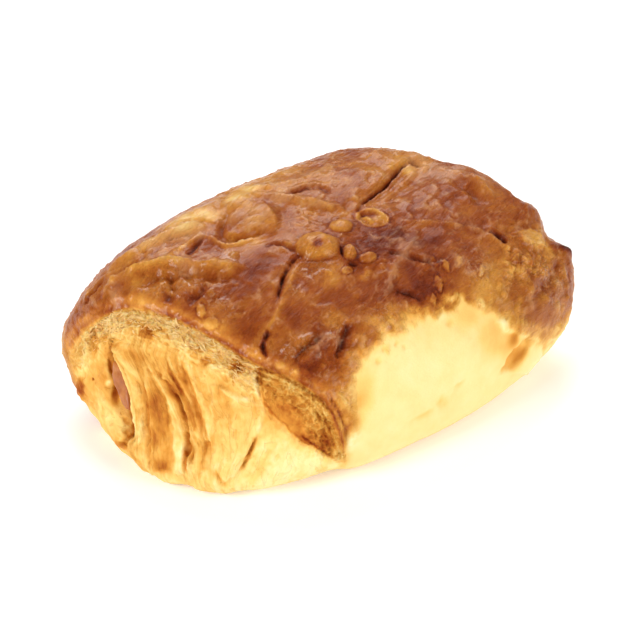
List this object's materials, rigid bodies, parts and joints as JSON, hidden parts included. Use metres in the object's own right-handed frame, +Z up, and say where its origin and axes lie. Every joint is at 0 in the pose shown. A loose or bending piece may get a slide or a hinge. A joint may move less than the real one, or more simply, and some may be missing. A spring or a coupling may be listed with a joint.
{
  "type": "ham and cheese danish pastry",
  "caption": "Rolled, laminated savoury pastry with a browned crust wrapped over it, and a ham and cheese filling that shows in a slit at its cut ends.",
  "frame": {"origin": "on the table, under the middle of the pastry", "axes": "+X along the roll, from the cut end that the picture shows to the other; -Y towards the pale side, +Y towards the browned back; +Z up"},
  "size_m": [0.1228, 0.0944, 0.0494],
  "materials": {
    "dough": "baked dough: glossy caramel crust on top, pale and soft at the side, flaky at the cut ends",
    "ham": "moist cooked ham",
    "cheese": "soft melted cheese"
  },
  "bodies": {
    "root": {"dough": "dough", "ham": "ham", "cheese": "cheese"}
  },
  "joints": []
}
